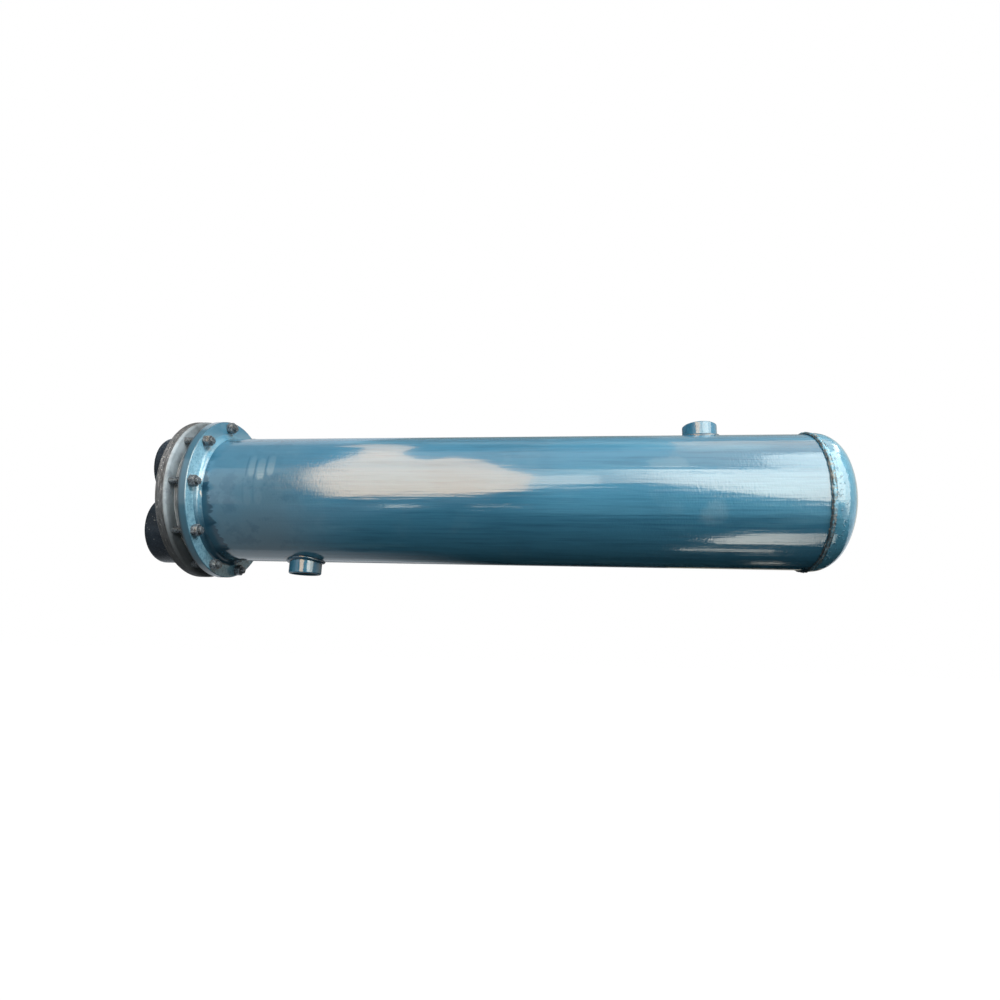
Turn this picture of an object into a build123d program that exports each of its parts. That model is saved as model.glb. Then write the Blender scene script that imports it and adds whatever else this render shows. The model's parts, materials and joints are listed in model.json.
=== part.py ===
"""Shell and tube heat exchanger with a removable bundle of U-shaped tubes.

The shell lies along X. The origin is on the flat end face of the channel head,
midway between the two tube-side ports; +X runs along the shell to its domed end,
and the shell-side sockets point up (+Z) and down (-Z). All lengths are in mm.
"""
import os
from math import atan2, cos, degrees, radians, sin, sqrt, tan

from build123d import *

os.makedirs("parts", exist_ok=True)

# Shell tube
shell_radius = 109.55
shell_wall = 6.3
shell_length = 979.5
shell_flange_weld_leg = 9.0

# Dished end cap: a wide crown and a tight knuckle, on a short straight skirt
cap_step = 1.95
cap_wall = 6.3
cap_skirt = 4.5
cap_crown_radius = 178.4
cap_knuckle_radius = 34.3
cap_weld_width = 9.0
cap_weld_height = 1.0

# Channel head: a two-lobed casting with one tube-side port in each lobe
partition_thickness = 16.0
head_wall = 12.4
head_length = 71.0
head_end_wall = 20.0
head_edge_radius = 7.0
port_bore_radius = 22.4
port_mouth_chamfer = 2.0
head_weld_leg = 6.0

# Bolted joint between the head, the tube sheet and the shell
gasket_land = 7.45
tube_sheet_margin = 2.0
stud_sheet_gap = 4.0
flange_edge = 11.0
flange_edge_chamfer = 1.0
head_flange_edge_radius = 4.0
head_flange_thickness = 18.0
shell_flange_thickness = 14.0
gasket_thickness = 2.0
tube_sheet_thickness = 16.0
bolt_count = 10
bolt_hole_clearance = 0.75

# Studs screwed into the head flange, with a hexagon nut on the shell side
stud_radius = 6.0
stud_projection = 5.0
stud_tip_inset = 1.0
stud_end_chamfer = 1.2
nut_across_flats = 17.0
nut_height = 10.8
nut_chamfer = 1.4
thread_clearance = 0.05

# Threaded sockets of the shell side
socket_radius = 27.5
socket_height = 22.5
socket_bore_radius = 22.4
socket_thread_length = 20.0
socket_relief_radius = 24.0
socket_mouth_chamfer = 1.5
socket_weld_height = 7.5
socket_weld_angle = 30.0
bottom_socket_setback = 150.0
top_socket_setback = 157.0

# Bundle of U-shaped tubes with its baffles and tie rods
tube_radius = 10.0
tube_wall = 2.0
tube_pitch = 28.0
tube_edge_gap = 6.0
tube_end_projection = 2.0
tube_fit_clearance = 0.2
bend_end_gap = 25.0
baffle_count = 4
baffle_thickness = 5.0
baffle_shell_clearance = 0.8
baffle_setback = 240.0
tie_rod_radius = 5.0
tie_rod_inset = 15.0
tie_rod_angle = 25.0
tie_rod_projection = 12.0

# One overrun serves every cut
overrun = 5.0

# Radii that follow from the shell and the joint
shell_inner_radius = shell_radius - shell_wall
cap_radius = shell_radius + cap_step
cap_inner_radius = cap_radius - cap_wall
gasket_radius = shell_radius + gasket_land
tube_sheet_radius = gasket_radius + tube_sheet_margin
bolt_circle_radius = tube_sheet_radius + stud_sheet_gap + stud_radius
bolt_hole_radius = stud_radius + bolt_hole_clearance
flange_radius = bolt_circle_radius + flange_edge
chamber_radius = (shell_inner_radius - partition_thickness / 2) / 2
lobe_offset = chamber_radius + partition_thickness / 2
lobe_radius = chamber_radius + head_wall

# Places along X, each taken from the pieces before it
head_flange_x = head_length
head_gasket_x = head_flange_x + head_flange_thickness
tube_sheet_x = head_gasket_x + gasket_thickness
shell_gasket_x = tube_sheet_x + tube_sheet_thickness
shell_flange_x = shell_gasket_x + gasket_thickness
shell_x = shell_flange_x + shell_flange_thickness
seam_x = shell_x + shell_length
dome_x = seam_x + cap_skirt
bottom_socket_x = shell_x + bottom_socket_setback
top_socket_x = seam_x - top_socket_setback
lobes = [(0, lobe_offset), (0, -lobe_offset)]

# Tube places: as many of a triangular layout as fit in one chamber of the head
tube_row_height = tube_pitch * sqrt(3) / 2
tube_reach = chamber_radius - tube_radius - tube_edge_gap
rings = range(-int(tube_reach / tube_pitch) - 1, int(tube_reach / tube_pitch) + 2)
grid = [((col + row / 2) * tube_pitch, row * tube_row_height) for row in rings for col in rings]
tube_places = [(y, lobe_offset + z) for y, z in grid if sqrt(y * y + z * z) <= tube_reach]
tube_hole_places = tube_places + [(y, -z) for y, z in tube_places]
top_tube_z = max(z for y, z in tube_places)
bend_x = seam_x - bend_end_gap - top_tube_z - tube_radius


def across(x):
    """Plane square to the shell at x: its own x is +Y, its own y is +Z."""
    return Plane(origin=(x, 0, 0), x_dir=(0, 1, 0), z_dir=(1, 0, 0))


def save(piece, name):
    """Label one piece and write it as its own STEP file."""
    piece.part.label = name
    export_step(piece.part, "parts/" + name + ".step")


# Channel head: the metal left between its two chambers is the pass partition
with BuildPart() as head_body:
    with BuildSketch(across(0)):
        with Locations(lobes):
            Circle(lobe_radius)
    extrude(amount=head_length)
    fillet(head_body.faces().sort_by(Axis.X)[0].edges(), head_edge_radius)
    with BuildSketch(across(head_end_wall)):
        with Locations(lobes):
            Circle(chamber_radius)
    extrude(amount=head_length, mode=Mode.SUBTRACT)
    with BuildSketch(across(0)):
        with Locations(lobes):
            Circle(port_bore_radius)
    extrude(amount=head_end_wall + overrun, mode=Mode.SUBTRACT)
    mouths = head_body.faces().sort_by(Axis.X)[0].inner_wires().edges()
    chamfer(mouths, port_mouth_chamfer)
save(head_body, "head_body")

with BuildPart() as head_weld:
    for lobe in lobes:
        with BuildSketch(across(head_flange_x)):
            with Locations(lobe):
                Circle(lobe_radius + head_weld_leg)
        extrude(amount=-head_weld_leg, taper=45)
    with BuildSketch(across(head_flange_x)):
        with Locations(lobes):
            Circle(lobe_radius)
    extrude(amount=-head_weld_leg - overrun, mode=Mode.SUBTRACT)
save(head_weld, "head_weld")

# Bolted joint: head flange, gasket, tube sheet, gasket, shell flange
with BuildPart() as head_flange:
    with BuildSketch(across(head_flange_x)):
        Circle(flange_radius)
        with Locations(lobes):
            Circle(chamber_radius, mode=Mode.SUBTRACT)
        with PolarLocations(bolt_circle_radius, bolt_count):
            Circle(stud_radius + thread_clearance, mode=Mode.SUBTRACT)
    extrude(amount=head_flange_thickness)
    rims = head_flange.edges().filter_by(GeomType.CIRCLE).sort_by(SortBy.RADIUS)[-2:].sort_by(Axis.X)
    fillet(rims[-1], head_flange_edge_radius)
    rims = head_flange.edges().filter_by(GeomType.CIRCLE).sort_by(SortBy.RADIUS)[-2:].sort_by(Axis.X)
    chamfer(rims[0], flange_edge_chamfer)
save(head_flange, "head_flange")

with BuildPart() as head_gasket:
    with BuildSketch(across(head_gasket_x)):
        Circle(gasket_radius)
        with Locations(lobes):
            Circle(chamber_radius, mode=Mode.SUBTRACT)
    extrude(amount=gasket_thickness)
save(head_gasket, "head_gasket")

with BuildPart() as tube_sheet:
    with BuildSketch(across(tube_sheet_x)):
        Circle(tube_sheet_radius)
        with Locations(tube_hole_places):
            Circle(tube_radius + tube_fit_clearance, mode=Mode.SUBTRACT)
    extrude(amount=tube_sheet_thickness)
save(tube_sheet, "tube_sheet")

with BuildPart() as shell_gasket:
    with BuildSketch(across(shell_gasket_x)):
        Circle(gasket_radius)
        Circle(shell_inner_radius, mode=Mode.SUBTRACT)
    extrude(amount=gasket_thickness)
save(shell_gasket, "shell_gasket")

with BuildPart() as shell_flange:
    with BuildSketch(across(shell_flange_x)):
        Circle(flange_radius)
        Circle(shell_inner_radius, mode=Mode.SUBTRACT)
        with PolarLocations(bolt_circle_radius, bolt_count):
            Circle(bolt_hole_radius, mode=Mode.SUBTRACT)
    extrude(amount=shell_flange_thickness)
    rims = shell_flange.edges().filter_by(GeomType.CIRCLE).sort_by(SortBy.RADIUS)[-2:]
    chamfer(rims, flange_edge_chamfer)
save(shell_flange, "shell_flange")

stud_x = head_flange_x + stud_tip_inset
stud_length = shell_x + nut_height + stud_projection - stud_x
with BuildPart() as flange_studs:
    with BuildSketch(across(stud_x)):
        with PolarLocations(bolt_circle_radius, bolt_count):
            Circle(stud_radius)
    extrude(amount=stud_length)
    chamfer(flange_studs.edges().filter_by(GeomType.CIRCLE), stud_end_chamfer)
save(flange_studs, "flange_studs")

# One hexagon nut, rounded off at its outer face by a cone
nut_corner_radius = nut_across_flats / sqrt(3)
with BuildPart() as nut:
    with BuildSketch():
        RegularPolygon(nut_across_flats / 2, 6, major_radius=False)
    extrude(amount=nut_height)
    with BuildSketch():
        Circle(nut_corner_radius + nut_height - nut_chamfer)
    extrude(amount=nut_height, taper=45, mode=Mode.INTERSECT)
    with BuildSketch():
        Circle(stud_radius + thread_clearance)
    extrude(amount=nut_height, mode=Mode.SUBTRACT)

with BuildPart(across(shell_x)) as shell_side_nuts:
    with PolarLocations(bolt_circle_radius, bolt_count):
        add(nut.part)
save(shell_side_nuts, "shell_side_nuts")

# Shell with the holes under its two sockets
with BuildPart() as shell:
    with BuildSketch(across(shell_x)):
        Circle(shell_radius)
        Circle(shell_inner_radius, mode=Mode.SUBTRACT)
    extrude(amount=shell_length)
    with BuildSketch(Plane.XY):
        with Locations((top_socket_x, 0)):
            Circle(socket_relief_radius)
    extrude(amount=shell_radius + overrun, mode=Mode.SUBTRACT)
    with BuildSketch(Plane.XY):
        with Locations((bottom_socket_x, 0)):
            Circle(socket_relief_radius)
    extrude(amount=-shell_radius - overrun, mode=Mode.SUBTRACT)
save(shell, "shell")

# Hollow fillet between the shell and its flange
weld_dip = shell_flange_weld_leg * (1 - cos(radians(45)))
with BuildPart() as shell_flange_weld:
    with BuildSketch(Plane.XZ):
        with BuildLine():
            Polyline(
                (shell_x + shell_flange_weld_leg, shell_radius),
                (shell_x, shell_radius),
                (shell_x, shell_radius + shell_flange_weld_leg),
            )
            ThreePointArc(
                (shell_x, shell_radius + shell_flange_weld_leg),
                (shell_x + weld_dip, shell_radius + weld_dip),
                (shell_x + shell_flange_weld_leg, shell_radius),
            )
        make_face()
    revolve(axis=Axis.X)
save(shell_flange_weld, "shell_flange_weld")


def socket_piece(x, up):
    """Threaded coupling that stands on the shell, saddled to its outside."""
    mouth = shell_radius + socket_height
    with BuildPart() as socket:
        with BuildSketch(Plane.XY):
            with Locations((x, 0)):
                Circle(socket_radius)
        extrude(amount=up * mouth)
        chamfer(socket.edges().group_by(Axis.Z)[-1 if up > 0 else 0], socket_mouth_chamfer)
        with BuildSketch(Plane.XY):
            with Locations((x, 0)):
                Circle(socket_bore_radius)
        extrude(amount=up * mouth, mode=Mode.SUBTRACT)
        with BuildSketch(Plane.XY):
            with Locations((x, 0)):
                Circle(socket_relief_radius)
        extrude(amount=up * (mouth - socket_thread_length), mode=Mode.SUBTRACT)
        with BuildSketch(across(x - socket_radius - overrun)):
            Circle(shell_radius)
        extrude(amount=2 * (socket_radius + overrun), mode=Mode.SUBTRACT)
    return socket


def socket_weld_piece(x, up):
    """Fillet weld round the foot of a socket."""
    height = shell_radius + socket_weld_height
    foot_radius = socket_radius + height * tan(radians(socket_weld_angle))
    with BuildPart() as weld:
        with BuildSketch(Plane.XY):
            with Locations((x, 0)):
                Circle(foot_radius)
        extrude(amount=up * height, taper=socket_weld_angle)
        with BuildSketch(Plane.XY):
            with Locations((x, 0)):
                Circle(socket_radius)
        extrude(amount=up * height, mode=Mode.SUBTRACT)
        with BuildSketch(across(x - foot_radius - overrun)):
            Circle(shell_radius)
        extrude(amount=2 * (foot_radius + overrun), mode=Mode.SUBTRACT)
    return weld


top_socket = socket_piece(top_socket_x, 1)
save(top_socket, "top_socket")
bottom_socket = socket_piece(bottom_socket_x, -1)
save(bottom_socket, "bottom_socket")
top_socket_weld = socket_weld_piece(top_socket_x, 1)
save(top_socket_weld, "top_socket_weld")
bottom_socket_weld = socket_weld_piece(bottom_socket_x, -1)
save(bottom_socket_weld, "bottom_socket_weld")

# Dished end cap, butted to the shell, with the bead over the joint
knuckle_z = cap_radius - cap_knuckle_radius
crown_run = sqrt((cap_crown_radius - cap_knuckle_radius) ** 2 - knuckle_z**2)
crown_x = dome_x - crown_run
crown_angle = degrees(atan2(knuckle_z, crown_run))
cap_end_x = crown_x + cap_crown_radius
with BuildPart() as end_cap:
    with BuildSketch(Plane.XZ):
        with BuildLine():
            Polyline((dome_x, cap_inner_radius), (seam_x, cap_inner_radius), (seam_x, cap_radius), (dome_x, cap_radius))
            CenterArc((dome_x, knuckle_z), cap_knuckle_radius, crown_angle, 90 - crown_angle)
            CenterArc((crown_x, 0), cap_crown_radius, 0, crown_angle)
            Line((cap_end_x, 0), (cap_end_x - cap_wall, 0))
            CenterArc((crown_x, 0), cap_crown_radius - cap_wall, 0, crown_angle)
            CenterArc((dome_x, knuckle_z), cap_knuckle_radius - cap_wall, crown_angle, 90 - crown_angle)
        make_face()
    revolve(axis=Axis.X)
save(end_cap, "end_cap")

bead_middle = (shell_radius + cap_radius) / 2 + cap_weld_height
with BuildPart() as end_cap_weld:
    with BuildSketch(Plane.XZ):
        with BuildLine():
            Polyline((seam_x - cap_weld_width, shell_radius), (seam_x, shell_radius), (seam_x, cap_radius))
            ThreePointArc(
                (seam_x, cap_radius),
                (seam_x - cap_weld_width / 2, bead_middle),
                (seam_x - cap_weld_width, shell_radius),
            )
        make_face()
    revolve(axis=Axis.X)
save(end_cap_weld, "end_cap_weld")

# Bundle: each tube runs from its upper hole round the bend to its lower one
tube_start_x = tube_sheet_x - tube_end_projection
with BuildPart() as u_tubes:
    for y, z in tube_places:
        with BuildLine(Plane.XZ.offset(-y)) as path:
            Line((tube_start_x, z), (bend_x, z))
            ThreePointArc((bend_x, z), (bend_x + z, 0), (bend_x, -z))
            Line((bend_x, -z), (tube_start_x, -z))
        with BuildSketch(across(tube_start_x)):
            with Locations((y, z)):
                Circle(tube_radius)
                Circle(tube_radius - tube_wall, mode=Mode.SUBTRACT)
        sweep(path=path.line)
save(u_tubes, "u_tubes")

baffle_radius = shell_inner_radius - baffle_shell_clearance
baffle_cut_height = lobe_offset + tube_row_height / 2
first_baffle_x = shell_x + baffle_setback
last_baffle_x = seam_x - baffle_setback
baffle_step = (last_baffle_x - first_baffle_x) / (baffle_count - 1)
baffle_xs = [first_baffle_x + i * baffle_step for i in range(baffle_count)]
tie_rod_circle = baffle_radius - tie_rod_inset
tie_rod_y = tie_rod_circle * cos(radians(tie_rod_angle))
tie_rod_z = tie_rod_circle * sin(radians(tie_rod_angle))
tie_rod_places = [(side * tie_rod_y, up * tie_rod_z) for side in (1, -1) for up in (1, -1)]
with BuildPart() as baffles:
    for i, x in enumerate(baffle_xs):
        window_side = 1 if i % 2 == 0 else -1
        with BuildSketch(across(x)):
            Circle(baffle_radius)
            with Locations((0, window_side * (baffle_cut_height + baffle_radius))):
                Rectangle(2 * baffle_radius, 2 * baffle_radius, mode=Mode.SUBTRACT)
            with Locations([p for p in tube_hole_places if p[1] * window_side < baffle_cut_height]):
                Circle(tube_radius + tube_fit_clearance, mode=Mode.SUBTRACT)
            with Locations(tie_rod_places):
                Circle(tie_rod_radius + tube_fit_clearance, mode=Mode.SUBTRACT)
        extrude(amount=baffle_thickness)
save(baffles, "baffles")

tie_rod_end_x = last_baffle_x + baffle_thickness + tie_rod_projection
with BuildPart() as tie_rods:
    with BuildSketch(across(shell_gasket_x)):
        with Locations(tie_rod_places):
            Circle(tie_rod_radius)
    extrude(amount=tie_rod_end_x - shell_gasket_x)
save(tie_rods, "tie_rods")
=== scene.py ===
# %% [markdown]
# # A shell and tube heat exchanger
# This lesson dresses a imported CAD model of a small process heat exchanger: a
# blue shell with a domed end, a bolted joint and a dark two-lobed channel head.
# The CAD solids give the true sizes; here they get paint, bare metal, threads
# and weld beads, and a studio to hang in. Everything is in metres. The shell
# lies along X, and the flat face of its channel head is at the origin.

# %% Load the frame
import json
from math import cos, pi, radians, sin, sqrt

import bpy
from mathutils import Matrix, Vector


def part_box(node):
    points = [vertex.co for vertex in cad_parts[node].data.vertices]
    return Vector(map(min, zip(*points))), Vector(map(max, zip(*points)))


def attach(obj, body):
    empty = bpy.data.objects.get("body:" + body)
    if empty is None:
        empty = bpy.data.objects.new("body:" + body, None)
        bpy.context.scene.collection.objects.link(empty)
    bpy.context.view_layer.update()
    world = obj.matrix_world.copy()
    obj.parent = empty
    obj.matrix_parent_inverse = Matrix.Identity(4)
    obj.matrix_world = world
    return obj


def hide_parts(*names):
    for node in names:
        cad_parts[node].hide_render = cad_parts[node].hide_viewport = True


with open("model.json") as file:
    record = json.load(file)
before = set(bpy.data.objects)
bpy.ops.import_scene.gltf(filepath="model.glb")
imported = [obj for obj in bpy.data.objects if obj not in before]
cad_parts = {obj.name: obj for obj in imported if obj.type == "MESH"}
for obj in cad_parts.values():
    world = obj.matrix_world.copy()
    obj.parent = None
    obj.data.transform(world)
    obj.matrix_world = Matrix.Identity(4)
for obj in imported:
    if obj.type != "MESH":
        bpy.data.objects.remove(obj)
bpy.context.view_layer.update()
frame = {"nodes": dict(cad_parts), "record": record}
nodes = frame["nodes"]
scene = bpy.context.scene
print("CAD nodes:", len(nodes))

# %% [markdown]
# ## Camera
# The exchanger is seen from close by through a wide lens, from a little below
# the shell and turned slightly to the left. A camera could be set by eye, but
# the shell would then taper wrongly. These angles and the small lens shift were
# worked out from the rims of the flanges and the ring of nuts.

# %% Place the camera
camera_place = Vector((0.68720, -0.96146, -0.23972))
camera_yaw = radians(6.9049)
camera_pitch = radians(11.6729)
camera_roll = radians(-1.9186)
camera_lens_mm = 20.7809
camera_sensor_mm = 36.0
camera_shift_shares = (0.023546, 0.023755)
quarter_turn = radians(90)

camera_data = bpy.data.cameras.new("camera")
camera_data.lens = camera_lens_mm
camera_data.sensor_width = camera_sensor_mm
camera_data.shift_x = camera_shift_shares[0]
camera_data.shift_y = camera_shift_shares[1]
camera = bpy.data.objects.new("camera", camera_data)
scene.collection.objects.link(camera)
camera.matrix_world = (
    Matrix.Translation(camera_place)
    @ Matrix.Rotation(camera_yaw, 4, "Z")
    @ Matrix.Rotation(camera_pitch, 4, "X")
    @ Matrix.Rotation(camera_roll, 4, "Y")
    @ Matrix.Rotation(quarter_turn, 4, "X")
)
scene.camera = camera
print("camera at", tuple(round(v, 3) for v in camera_place))

# %% [markdown]
# ## Sizes from the frame
# The shell runs from a bolted joint to a domed cap, and every new piece sits on
# one of those CAD pieces. Its place could be typed in again, but when it is
# read from the boxes of the CAD nodes, it follows any change of size.

# %% Read the sizes
shell_low, shell_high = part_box("shell")
shell_start = shell_low.x
shell_end = shell_high.x
shell_radius = shell_high.y
cap_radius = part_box("end_cap")[1].y
flange_low, flange_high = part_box("head_flange")
flange_radius = flange_high.y
stud_low, stud_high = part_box("flange_studs")
stud_radius = 0.006
stud_count = 10
bolt_circle = stud_high.y - stud_radius
print("shell", round(shell_end - shell_start, 4), "long, bolt circle", round(bolt_circle, 4))

# %% [markdown]
# ## Maths on sockets
# Paint and metal vary from place to place, and a material works that out with
# small nodes. They could be added and linked one by one, but a calculation is
# hard to read that way. A class that wraps a socket and has Python's operators
# lets it be written as plain maths.


# %% Maths on sockets
noise_middle = 0.5


class Wire:
    """One output socket; arithmetic on it adds Math nodes."""

    def __init__(self, tree, socket):
        self.tree = tree
        self.socket = socket

    def math(self, operation, *values):
        node = self.tree.nodes.new("ShaderNodeMath")
        node.operation = operation
        for socket, value in zip(node.inputs, values):
            plug(self.tree, socket, value)
        return Wire(self.tree, node.outputs[0])

    def __add__(self, other):
        return self.math("ADD", self, other)

    __radd__ = __add__

    def __sub__(self, other):
        return self.math("SUBTRACT", self, other)

    def __rsub__(self, other):
        return self.math("SUBTRACT", other, self)

    def __mul__(self, other):
        return self.math("MULTIPLY", self, other)

    __rmul__ = __mul__

    def __truediv__(self, other):
        return self.math("DIVIDE", self, other)

    def __rtruediv__(self, other):
        return self.math("DIVIDE", other, self)

    def top(self, other):
        return self.math("MAXIMUM", self, other)

    def low(self, other):
        return self.math("MINIMUM", self, other)

    def size(self):
        return self.math("ABSOLUTE", self)

    def angle(self, across):
        return self.math("ARCTAN2", self, across)

    def swing(self, reach):
        """Noise from 0 to 1 as a swing about zero."""
        return (self - noise_middle) * reach


def plug(tree, socket, value):
    """Link a wire to a socket, or set the socket's own value."""
    if isinstance(value, Wire):
        tree.links.new(value.socket, socket)
    else:
        socket.default_value = value


print("socket maths ready")

# %% [markdown]
# ## One way to make nodes
# Every finish here is a shader fed by noise, ramps and mixes. The nodes could
# be made each in its own way; instead one method adds any node from its type,
# its settings and its sockets, and short methods name the forms that come back
# often. Patterns read Object coordinates, so they stay on the piece.


# %% One way to make nodes
class Graph:
    """A node tree and the method that adds its nodes."""

    # The colour sockets of a Mix node, which has sockets for every kind of value.
    mix_share = 0
    mix_first = 6
    mix_second = 7
    mix_result = 2

    def __init__(self, tree):
        self.tree = tree
        tree.nodes.clear()

    def make(self, kind, settings=None, sockets=None, output=0):
        """Add one node and give one of its outputs, or the node itself for None."""
        node = self.tree.nodes.new(kind)
        for key, value in (settings or {}).items():
            setattr(node, key, value)
        for key, value in (sockets or {}).items():
            plug(self.tree, node.inputs[key], value)
        return node if output is None else Wire(self.tree, node.outputs[output])

    def place(self):
        return self.make("ShaderNodeTexCoord", output="Object")

    def axes(self, vector):
        node = self.make("ShaderNodeSeparateXYZ", sockets={0: vector}, output=None)
        return [Wire(self.tree, socket) for socket in node.outputs]

    def vector(self, x, y, z):
        return self.make("ShaderNodeCombineXYZ", sockets={0: x, 1: y, 2: z})

    def length(self, vector):
        return self.make("ShaderNodeVectorMath", {"operation": "LENGTH"}, {0: vector}, "Value")

    def noise(self, vector, scale, detail, rough):
        sockets = {"Vector": vector, "Scale": scale, "Detail": detail, "Roughness": rough}
        return self.make("ShaderNodeTexNoise", sockets=sockets)

    def grain(self, axes, scales, detail, rough):
        """Noise with its own scale along each axis, so that it runs in streaks."""
        stretched = [axis * scale for axis, scale in zip(axes, scales)]
        return self.noise(self.vector(*stretched), 1.0, detail, rough)

    def ramp(self, value, low, high):
        """A smooth step from 0 at low to 1 at high."""
        sockets = {"Value": value, "From Min": low, "From Max": high}
        return self.make("ShaderNodeMapRange", {"interpolation_type": "SMOOTHSTEP"}, sockets)

    def mix(self, first, second, share):
        sockets = {self.mix_share: share, self.mix_first: first, self.mix_second: second}
        return self.make("ShaderNodeMix", {"data_type": "RGBA"}, sockets, self.mix_result)

    def bump(self, height, strength, distance):
        sockets = {"Height": height, "Strength": strength, "Distance": distance}
        return self.make("ShaderNodeBump", sockets=sockets)


class Finish(Graph):
    """A material under construction, with its Principled shader."""

    def __init__(self, name):
        self.material = bpy.data.materials.new(name)
        self.material.use_nodes = True
        super().__init__(self.material.node_tree)
        self.out = self.make("ShaderNodeOutputMaterial", output=None)
        self.shader = self.make("ShaderNodeBsdfPrincipled", output=None)
        self.show(Wire(self.tree, self.shader.outputs[0]))

    def show(self, shader):
        plug(self.tree, self.out.inputs[0], shader)

    def set(self, **sockets):
        """Set or link the Principled shader's sockets by name, with _ for a space."""
        for key, value in sockets.items():
            plug(self.tree, self.shader.inputs[key.replace("_", " ")], value)


print("node methods ready")

# %% [markdown]
# ## Enamel colours
# The shell, its flange, the sockets and the cap wear one teal-blue gloss paint. The cap and the flange
# are given paler tones as painted light, the fillet paler ones as a painted highlight, and the beads
# round the sockets dark ones as painted shade; the flange is also rubbed. One colour would look like
# plastic, so each piece has three tones: the paint itself, a deep one for thin or dirty places and for
# painted shade, a pale one for thick strokes. They are written as display colours and turned into linear
# ones.

# %% Enamel colours
display_top = 255
toe_end = 0.04045
toe_slope = 12.92
curve_shift = 0.055
curve_power = 2.4


def linear(share):
    """One display share as linear light."""
    if share <= toe_end:
        return share / toe_slope
    return ((share + curve_shift) / (1 + curve_shift)) ** curve_power


def rgb(*display):
    """A display colour from 0 to 255 as Blender's linear colour."""
    return (*(linear(value / display_top) for value in display), 1.0)


shell_tones = (rgb(62, 121, 148), rgb(38, 88, 114), rgb(104, 160, 182))
# The cap's tones are paler than the shell's, as painted light on the cap.
cap_lit_tones = (rgb(86, 150, 175), rgb(60, 120, 146), rgb(112, 170, 192))
# The socket beads' tones are dark, as painted shade.
socket_bead_shade_tones = (rgb(36, 78, 100), rgb(22, 52, 68), rgb(70, 120, 144))
# The flange's tones are paler than the shell's, as painted light on its face.
flange_lit_tones = (rgb(156, 206, 224), rgb(84, 138, 162), rgb(172, 212, 224))
# The fillet's tones are paler still, as a painted highlight.
fillet_highlight_tones = (rgb(136, 187, 208), rgb(94, 148, 172), rgb(176, 212, 226))
film_tone = rgb(142, 168, 176)
dust_tone = rgb(92, 118, 131)
# A dark tone for painted shade, in the corners and on the lower flange and fillet.
painted_shade_tone = rgb(22, 60, 80)
print("shell paint", tuple(round(v, 3) for v in shell_tones[0]))

# %% [markdown]
# ## Brushed enamel
# The paint was laid on along the shell, so its streaks run lengthwise, and fine
# ripples across them fray the edge of every reflection. An image could show
# that, but noise stretched along X has no seams and fits any length. Beside the
# flange the coat is smooth, and the brush shows more and more further on.

# %% Brushed enamel
patch_noise = (14.0, 4.0, 0.6)
cloud_noise = (5.0, 3.0, 0.5)
streak_grain = ((9.0, 190.0, 190.0), 5.0, 0.62)
broad_grain = ((3.5, 30.0, 30.0), 4.0, 0.6)
stroke_grain = ((14.0, 110.0, 110.0), 3.0, 0.5)
bristle_grain = ((5.0, 260.0, 260.0), 1.0, 0.5)
ripple_grain = ((320.0, 130.0, 130.0), 2.0, 0.5)
worked_band = (0.20, 0.40)
worked_least_share = 0.20
streak_band = (0.42, 0.74)
streak_share = 0.5
broad_band = (0.50, 0.74)
broad_share = 0.45
cloud_band = (0.52, 0.70)
cloud_share = 0.25
film_band = (0.52, 0.85)
film_share = 0.1
stroke_depth = 0.00050
bristle_depth = 0.00030
ripple_depth = 0.00009
ripple_right_band = (0.70, 0.95)
ripple_right_share = 2.2
ripple_left_band = (0.50, 0.34)
ripple_left_share = 0.9
ripple_least_share = 0.6
gloss_rough = 0.09
streak_rough = 0.08
streak_rough_band = (0.35, 0.7)
film_rough = 0.5
coat_rough = 0.05


class Enamel(Finish):
    """Gloss paint in the making: its colour, relief, dust film and clear coat so far."""

    def __init__(self, name, tones):
        super().__init__(name)
        self.middle, self.deep, self.pale = tones
        self.spot = self.place()
        self.x, self.y, self.z = self.axes(self.spot)
        self.patch = self.noise(self.spot, *patch_noise)
        self.cloud = self.noise(self.spot, *cloud_noise)
        self.streak = self.along(streak_grain)
        self.film = self.ramp(self.patch, *film_band) * film_share
        self.colour = self.middle
        self.brush()

    def along(self, grain):
        """A grain that follows the shell."""
        return self.grain((self.x, self.y, self.z), *grain)

    def arc(self):
        """How far a point lies round the shell, up from the middle of its near side."""
        return self.z.angle(0 - self.y) * shell_radius

    def tint(self, tone, share):
        """Lay a tone over the colour so far."""
        self.colour = self.mix(self.colour, tone, share)

    def brush(self):
        """Streaks and clouds of tone, and the relief that the brush left."""
        worked = self.ramp(self.x, *worked_band) * (1 - worked_least_share) + worked_least_share
        self.tint(self.deep, self.ramp(self.streak, *streak_band) * worked * streak_share)
        broad = self.along(broad_grain)
        self.tint(self.pale, self.ramp(broad, *broad_band) * worked * broad_share)
        self.tint(self.deep, self.ramp(self.cloud, *cloud_band) * cloud_share)
        to_right = self.ramp(self.x, *ripple_right_band) * ripple_right_share
        to_left = self.ramp(self.x, *ripple_left_band) * ripple_left_share
        ripple_share = to_right + to_left + ripple_least_share
        strokes = self.along(stroke_grain) * worked * stroke_depth
        bristles = self.along(bristle_grain) * worked * bristle_depth
        self.height = strokes + bristles + self.along(ripple_grain) * ripple_share * ripple_depth

    def close(self):
        """Lay the dust film over all and feed the shader."""
        self.tint(film_tone, self.film)
        streaky = self.ramp(self.streak, *streak_rough_band) * streak_rough
        self.set(
            Base_Color=self.colour,
            Roughness=gloss_rough + streaky + self.film * film_rough,
            Normal=self.bump(self.height, 1.0, 1.0),
            Coat_Weight=self.coat,
            Coat_Roughness=coat_rough,
        )


print("brushed enamel ready")

# %% [markdown]
# ## Dust beside the flange
# Dust has dulled the first part of the shell to a blue grey, with darker blots
# and a cleaner belt above its middle. It could be a second material, but a
# share that rises and falls along X, broken up by noise, has no hard edge.

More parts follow.
